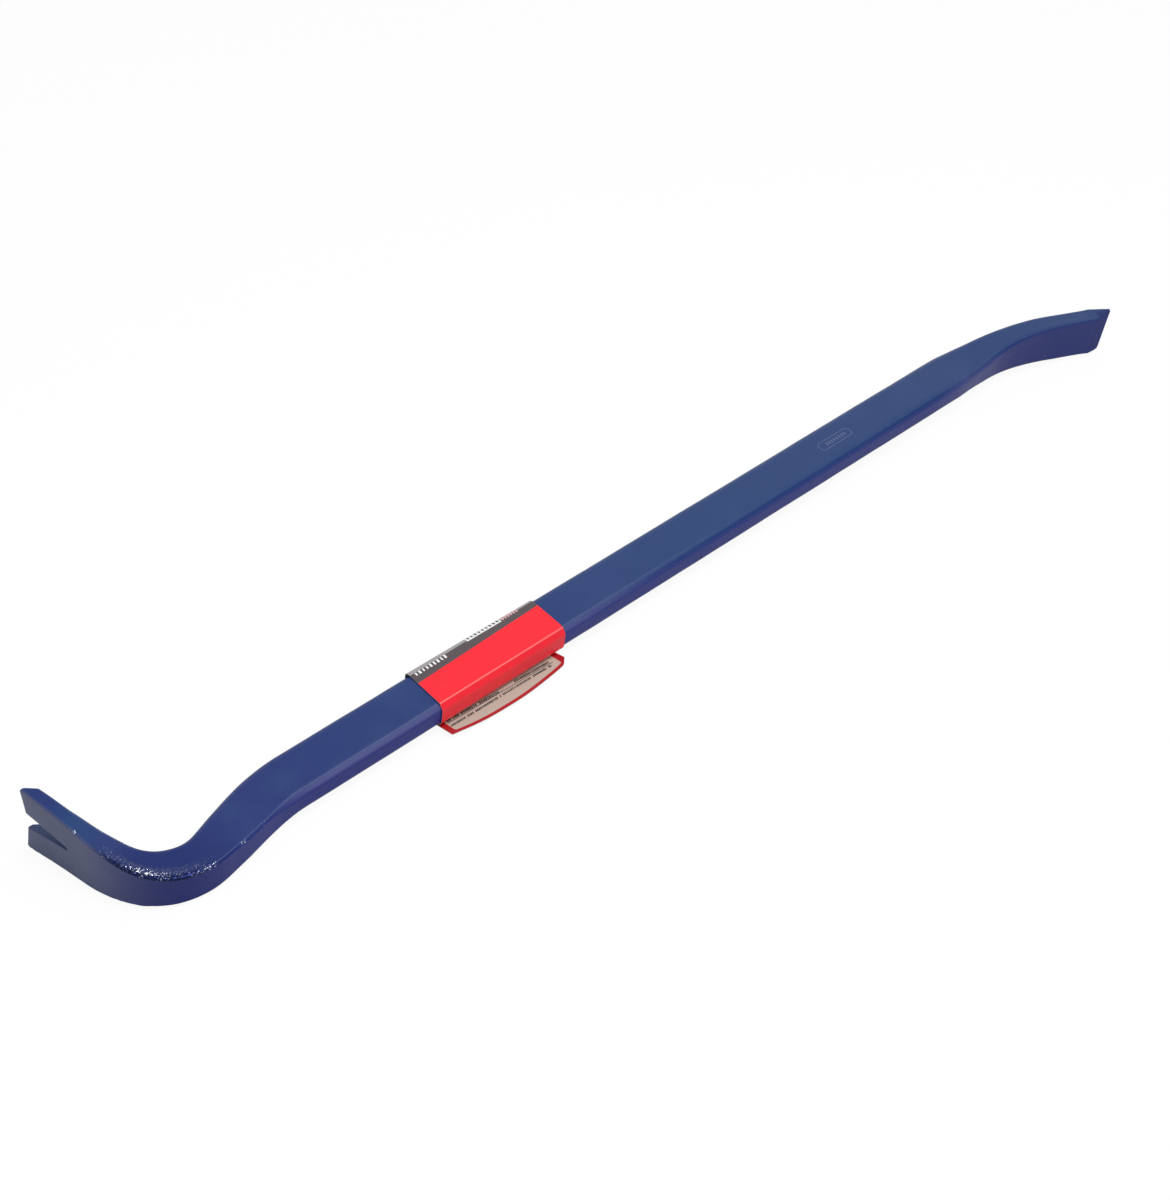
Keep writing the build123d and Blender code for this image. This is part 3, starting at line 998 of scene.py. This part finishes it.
def enamelMaterial():
    material, tree, shader = newMaterial("blueEnamel")
    spot = addNode(tree, "ShaderNodeTexCoord").outputs["Object"]
    along = parts(spot)["X"]
    rim, hammer, broadFace, glint, grooveShade, cornerHighlight, deep, claw = (attribute(tree, name) for name in maskNames)
    cells = {"Vector": spot, "Scale": enamel["dentScale"], "Smoothness": 0.35}
    dents = addNode(tree, "ShaderNodeTexVoronoi", cells, feature="SMOOTH_F1").outputs["Distance"]
    bumps = {"Height": times(dents, hammer), "Strength": 1.0, "Distance": enamel["dentDepth"]}
    fine = fineFinish(spot, *enamel["grain"], addNode(tree, "ShaderNodeBump", bumps).outputs["Normal"])
    patches = fine["Patches"]
    narrow = minus(1.0, broadFace)
    pale = times(ramp(along, *enamel["paleFrom"]), narrow, 0.55)
    start, full, less, end = enamel["throatLilac"]
    throat = times(ramp(along, start, full), ramp(along, end, less), narrow)
    # painted shade over the heel, weaker on the narrow faces
    heelShade = times(deep, minus(0.62, most(times(narrow, 0.22), pale)))
    # bare steel specks as painted glints in the hammered band and at the nicks, and chips along the claw's
    # rims
    speck = noiseAt(spot, enamel["speckScale"], 1.0)
    paintedGlints = times(ramp(plus(times(glint, 0.10), speck), 0.65, 0.69), ramp(glint, 0.02, 0.25))
    paintedGlints = most(paintedGlints, times(ramp(speck, 0.58, 0.64), hammer, 0.15))
    chipPatch = ramp(noiseAt(spot, enamel["chipPatchScale"], 1.0), 0.5, 0.62)
    chipped = times(ramp(along, *enamel["chipFrom"]), ramp(rim, 0.5, 0.85), chipPatch, speck)
    chipped = ramp(chipped, 0.56, 0.62)
    # layers over the base blue; the heel's shade, the claw's sheen, the groove's shade, the glints and the
    # long corner's highlight are painted light
    layers = (
        (times(ramp(patches, 0.48, 0.8), 0.7), "thinBlue"),
        (times(ramp(patches, 0.36, 0.54), ramp(claw, 0.65, 0.97), 0.4), "teal"),
        (times(ramp(narrow, 0.4, 0.95), 0.85), "sideBlue"),
        (times(cornerHighlight, 0.75), "paleLilac"),
        (pale, "paleBlue"),
        (times(throat, 0.4), "paleLilac"),
        (heelShade, "heelShadeBlue"),
        # painted sheen on the claw's outer face
        (times(narrow, ramp(claw, 0.0, 0.75), 0.74), "sheenGrey"),
        (times(grooveShade, 0.85), "grooveShadeBlue"),
        (times(chipped, 0.8), "chip"),
        (paintedGlints, "glintSteel"),
        (times(etchedFrame(spot), 0.55), "etch"),
    )
    colour = blendColour(ramp(along, *enamel["blueChange"]), enamel["clawBlue"], enamel["chiselBlue"])
    for share, name in layers:
        colour = blendColour(share, colour, enamel[name])
    rough = minus(ramp(patches, 0.3, 0.7, *enamel["roughness"]), times(hammer, enamel["hammeredGloss"]))
    rough = plus(rough, plus(times(chipped, 0.2), times(deep, pale, 0.75)))
    # metallic: bare steel in the painted glints, and a dark metallic coat along the groove whose dark
    # reflections deepen its painted shade
    metal = most(paintedGlints, times(grooveShade, 0.9))
    feedAll(shader, {"Base Color": colour, "Metallic": metal, "Roughness": rough, "Normal": fine["Normal"]})
    feed(shader.inputs["IOR"], enamel["ior"])
    return material


card = {
    "red": (0.93, 0.012, 0.028, 1),
    "darkGrey": (0.086, 0.066, 0.071, 1),
    "lightGrey": (0.36, 0.345, 0.345, 1),
    "beige": (0.50, 0.43, 0.36, 1),
    "border": (0.41, 0.001, 0.008, 1),
    "paper": (0.36, 0.31, 0.28, 1),
    # a painted highlight along the crease, where the print is also rubbed
    "rubAndSheen": (0.97, 0.36, 0.34, 1),
    "white": (0.86, 0.85, 0.84, 1),
    "dark": (0.055, 0.048, 0.046, 1),
    "pink": (0.86, 0.42, 0.46, 1),
    "glue": (0.6724, 0.6038, 0.4342, 1),
    "glueGloss": 0.34,
    "darkGreyFrom": (5.3, 8.4),  # mm across, at the left end and at the right end
    "lightGreyFrom": (12.3, 13.0),
    "backFrom": 0.36,  # across in the print's units, and so are the two below
    "creaseAt": -0.131,
    "creaseReach": 0.006,
    "borderWidth": 1.9,
    "gloss": 0.36,
    "backGloss": 0.42,
    "coreGloss": 0.8,
    "grain": (260.0, 0.000015, 45.0),  # scale, depth, and scale of the patches
    "ior": 1.42,
}


def cardFinish(name, colour, roughness):
    # card stock: faint fibres under the varnish, and a varnish that is not quite even
    material, tree, shader = newMaterial(name)
    fine = fineFinish(addNode(tree, "ShaderNodeTexCoord").outputs["Object"], *card["grain"])
    if callable(colour):
        colour = colour(tree)
    else:
        plain = tree.nodes.new("ShaderNodeRGB").outputs[0]
        plain.default_value = colour
        colour = plain
    shade = blendColour(1.0, colour, (0.90, 0.90, 0.90, 1), "MULTIPLY")
    colour = blendColour(ramp(fine["Patches"], 0.25, 0.6), shade, colour)
    rough = ramp(fine["Grain"], 0.3, 0.7, roughness - 0.04, roughness + 0.05)
    feedAll(shader, {"Base Color": colour, "Roughness": rough, "Normal": fine["Normal"], "IOR": card["ior"]})
    return material


def frontPrint(tree):
    along, across, _ = parts(addNode(tree, "ShaderNodeUVMap", uv_map="print").outputs["UV"])

    def isPast(start, end):
        # past a straight edge of the print that runs slightly askew over the sleeve's length
        edge = maths("MULTIPLY_ADD", along, (end - start) / sleeve["length"], start / 100)
        return maths("GREATER_THAN", across, edge)

    colour = blendColour(isPast(*card["darkGreyFrom"]), card["red"], card["darkGrey"])
    colour = blendColour(isPast(*card["lightGreyFrom"]), colour, card["lightGrey"])
    colour = blendColour(maths("GREATER_THAN", across, card["backFrom"]), colour, card["border"])
    # the crease is pressed into the card, and a painted highlight runs along it, where its print is also
    # rubbed
    rubAndSheen = ramp(maths("ABSOLUTE", minus(across, card["creaseAt"])), card["creaseReach"], 0.0)
    return blendColour(times(rubAndSheen, 0.45), colour, card["rubAndSheen"])


def backPrint(tree):
    inBorder = ramp(attribute(tree, "inFromEdge"), card["borderWidth"] + 0.08, card["borderWidth"] - 0.08)
    return blendColour(inBorder, card["beige"], card["border"])


forgedBar.data.materials.append(enamelMaterial())
cardSleeve.data.materials.append(cardFinish("cardFrontPrint", frontPrint, card["gloss"]))
cardSleeve.data.materials.append(cardFinish("cardBackPrint", backPrint, card["backGloss"]))
cardSleeve.data.materials.append(cardFinish("cardCore", card["paper"], card["coreGloss"]))
printedMarks = makeMarks({
    ink: cardFinish("ink" + ink.capitalize(), card[ink], card["gloss"]) for ink in ("white", "dark", "pink")
})
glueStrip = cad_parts["adhesive_strip"]
glueStrip.data.materials.clear()
glueStrip.data.materials.append(cardFinish("driedGlue", card["glue"], card["glueGloss"]))
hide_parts("forged_bar")
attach(forgedBar, "bar")
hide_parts("label_sleeve")
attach(cardSleeve, "sleeve")
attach(printedMarks, "sleeve")
print("materials and bodies set")

studio = {
    "floorNormal": (0.010, 0.155, 0.988),  # the bar lies on a prong's, the heel's and the chisel's corner
    "floorDrop": 0.0003,
    "floorHalf": 4,
    "floorTone": 0.6,
    "floorWhite": 0.87,  # share of the floor that shows plain white
    "floorGlare": 1.07,
    "floorMirrored": 0.06,  # the same share where the enamel reflects it
    "worldColour": (0.97, 0.98, 1.0, 1),
    "worldStrength": 0.56,
    "target": (-65.57, -15.57, 24.56),
    "distance": 1196.6,
    "azimuth": -49.404,
    "elevation": 46.12,
    "roll": 8.434,
    "lens": 61.62,
    "sensor": 36.0,
}
# where each stands, the point it faces, its width and height, and a lamp's power
softboxes = {
    "keySoftbox": {"spot": (-0.2, -0.3, 1.12), "aim": (-0.2, 0, 0), "size": (0.27, 0.27), "power": 5.2},
    "sideSoftbox": {"spot": (0.35, -0.29, 1.05), "aim": (-0.15, 0, 0), "size": (0.62, 0.30), "power": 2.5},
}
blackCard = {"spot": (0.80, -0.86, 0.47), "aim": (0.23, 0, 0), "size": (1.2, 0.62)}


def flatSheet(name, middle, side, ahead, material):
    # side and ahead reach from its middle to its edges
    data = bpy.data.meshes.new(name)
    corners = [middle + side * a + ahead * b for a, b in ((-1, -1), (1, -1), (1, 1), (-1, 1))]
    data.from_pydata(corners, [], [(0, 1, 2, 3)])
    data.materials.append(material)
    return addObject(name, data)


def showMix(tree, output, share, one, two):
    both = addNode(tree, "ShaderNodeMixShader", {0: share, 1: one.outputs[0], 2: two.outputs[0]})
    feed(tree.nodes[output].inputs["Surface"], both.outputs[0])


def floorMaterial():
    # the floor keeps the shadow, and otherwise shows plain white
    material, tree, shader = newMaterial("paleFloor")
    tone = studio["floorTone"]
    feedAll(shader, {"Base Color": (tone, tone, tone, 1), "Roughness": 0.9, "Specular IOR Level": 0.0})
    ray = addNode(tree, "ShaderNodeLightPath").outputs
    plain = times(most(ray["Is Camera Ray"], ray["Is Transmission Ray"]), studio["floorWhite"])
    share = most(plain, times(ray["Is Glossy Ray"], studio["floorMirrored"]))
    white = addNode(tree, "ShaderNodeEmission", {"Color": (1, 1, 1, 1), "Strength": studio["floorGlare"]})
    showMix(tree, "Material Output", share, shader, white)
    return material


def makeFloor():
    normal = Vector(studio["floorNormal"]).normalized()
    low = min(normal.dot(vertex.co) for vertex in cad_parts["forged_bar"].data.vertices)
    side = normal.cross(Vector((0, 1, 0))).normalized()
    half, middle = studio["floorHalf"], normal * (low - studio["floorDrop"])
    flatSheet("floor", middle, side * half, normal.cross(side) * half, floorMaterial())


def makeLamp(name, lamp):
    data = bpy.data.lights.new(name, "AREA")
    data.shape = "RECTANGLE"
    data.size, data.size_y = lamp["size"]
    data.energy = lamp["power"]
    light = addObject(name, data)
    light.location = lamp["spot"]
    light.rotation_mode = "QUATERNION"
    light.rotation_quaternion = (Vector(lamp["aim"]) - Vector(lamp["spot"])).to_track_quat("-Z", "Y")


def makeBlackCard():
    # a black card beside the camera, seen only in the enamel, that darkens the bar's long corner
    material, _, shader = newMaterial("blackCloth")
    feedAll(shader, {"Base Color": (0.02, 0.02, 0.022, 1), "Roughness": 0.95})
    spot = Vector(blackCard["spot"])
    ahead = (Vector(blackCard["aim"]) - spot).normalized()
    side = ahead.cross(Vector((0, 0, 1))).normalized()
    width, height = blackCard["size"]
    flag = flatSheet("darkFlag", spot, side * width / 2, side.cross(ahead) * height / 2, material)
    flag.visible_camera = flag.visible_diffuse = flag.visible_transmission = flag.visible_shadow = False


def makeWorld():
    # plain white where it is seen, and softer where it lights
    world = bpy.data.worlds.new("studio")
    bpy.context.scene.world = world
    world.use_nodes = True
    tree = world.node_tree
    ray = addNode(tree, "ShaderNodeLightPath").outputs
    seen = most(ray["Is Camera Ray"], ray["Is Glossy Ray"])
    seen = most(seen, ray["Is Transmission Ray"])
    lighting = {"Color": studio["worldColour"], "Strength": studio["worldStrength"]}
    plain = addNode(tree, "ShaderNodeBackground", lighting)
    white = addNode(tree, "ShaderNodeBackground", {"Color": (1, 1, 1, 1), "Strength": 1.0})
    showMix(tree, "World Output", seen, plain, white)


def makeCamera():
    azimuth, elevation, roll = (math.radians(studio[name]) for name in ("azimuth", "elevation", "roll"))
    flatX, flatY = math.sin(azimuth) * math.cos(elevation), -math.cos(azimuth) * math.cos(elevation)
    back = Vector((flatX, flatY, math.sin(elevation)))
    level = (-back).cross(Vector((0, 0, 1))).normalized()
    upright = level.cross(-back)
    right = level * math.cos(roll) + upright * math.sin(roll)
    up = upright * math.cos(roll) - level * math.sin(roll)
    spot = Vector(studio["target"]) * mm + back * studio["distance"] * mm
    data = bpy.data.cameras.new("camera")
    data.sensor_width = studio["sensor"]
    data.lens = studio["lens"]
    camera = addObject("camera", data)
    camera.matrix_world = Matrix([*zip(right, up, back, spot), (0, 0, 0, 1)])
    bpy.context.scene.camera = camera


makeFloor()
for name, lamp in softboxes.items():
    makeLamp(name, lamp)
makeBlackCard()
makeWorld()
makeCamera()
bpy.context.scene.view_settings.view_transform = "Standard"
print("studio set")
